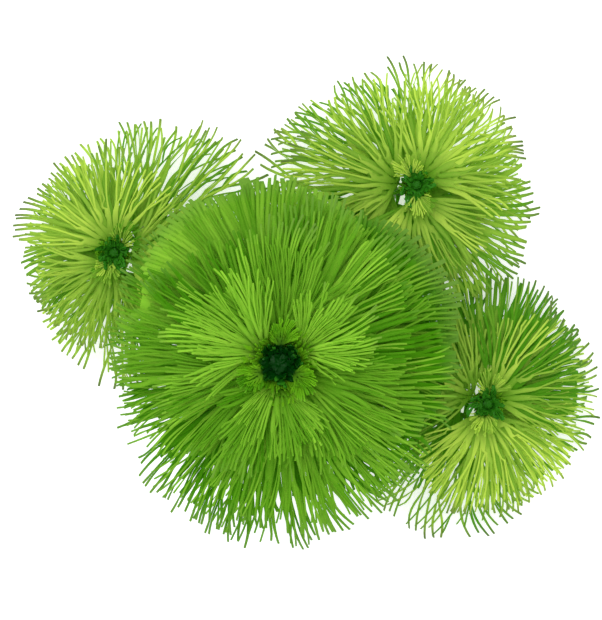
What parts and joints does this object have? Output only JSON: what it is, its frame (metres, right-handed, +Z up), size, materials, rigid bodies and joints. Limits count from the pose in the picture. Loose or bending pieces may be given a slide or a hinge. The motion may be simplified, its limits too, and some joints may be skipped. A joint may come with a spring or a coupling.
{
  "type": "cabomba plant",
  "caption": "Bushy submerged water plant: leafy shoots with whorls of finely divided, fan-shaped leaves on one short base that is cut off flat at the ground.",
  "frame": {"origin": "middle of the flat cut under the base, on the ground and on the axis of the main stem", "axes": "+Z up along the main stem, +X to the right and +Y to the top of the picture"},
  "size_m": [0.1517, 0.1265, 0.0694],
  "materials": {
    "main_leaf": "soft, slightly wet green",
    "side_leaf": "soft, slightly wet yellow-green",
    "stem": "smooth green stalk",
    "bud": "wet, dark blue-green",
    "base": "matte, brown-green stock with a pale cut"
  },
  "bodies": {
    "root": {"base": "base", "main_stem": "stem", "main_bud": "bud", "main_leaf_1a": "main_leaf", "main_leaf_1b": "main_leaf", "main_leaf_1c": "main_leaf", "main_leaf_2a": "main_leaf", "main_leaf_2b": "main_leaf", "main_leaf_2c": "main_leaf", "main_leaf_3a": "main_leaf", "main_leaf_3b": "main_leaf", "main_leaf_3c": "main_leaf", "main_leaf_4a": "main_leaf", "main_leaf_4b": "main_leaf", "main_leaf_4c": "main_leaf", "main_leaf_5a": "main_leaf", "main_leaf_5b": "main_leaf", "main_leaf_5c": "main_leaf", "main_leaf_6a": "main_leaf", "main_leaf_6b": "main_leaf", "main_leaf_6c": "main_leaf", "left_stem": "stem", "left_bud": "bud", "left_leaf_1a": "side_leaf", "left_leaf_1b": "side_leaf", "left_leaf_1c": "side_leaf", "left_leaf_2a": "side_leaf", "left_leaf_2b": "side_leaf", "left_leaf_2c": "side_leaf", "left_leaf_3a": "side_leaf", "left_leaf_3b": "side_leaf", "left_leaf_3c": "side_leaf", "left_leaf_4a": "side_leaf", "left_leaf_4b": "side_leaf", "rear_stem": "stem", "rear_bud": "bud", "rear_leaf_1a": "side_leaf", "rear_leaf_1b": "side_leaf", "rear_leaf_1c": "side_leaf", "rear_leaf_2a": "side_leaf", "rear_leaf_2b": "side_leaf", "rear_leaf_2c": "side_leaf", "rear_leaf_3a": "side_leaf", "rear_leaf_3b": "side_leaf", "rear_leaf_3c": "side_leaf", "rear_leaf_4a": "side_leaf", "rear_leaf_4b": "side_leaf", "right_stem": "stem", "right_bud": "bud", "right_leaf_1a": "side_leaf", "right_leaf_1b": "side_leaf", "right_leaf_1c": "side_leaf", "right_leaf_2a": "side_leaf", "right_leaf_2b": "side_leaf", "right_leaf_2c": "side_leaf", "right_leaf_3a": "side_leaf", "right_leaf_3b": "side_leaf", "right_leaf_3c": "side_leaf", "right_leaf_4a": "side_leaf", "right_leaf_4b": "side_leaf"}
  },
  "joints": []
}
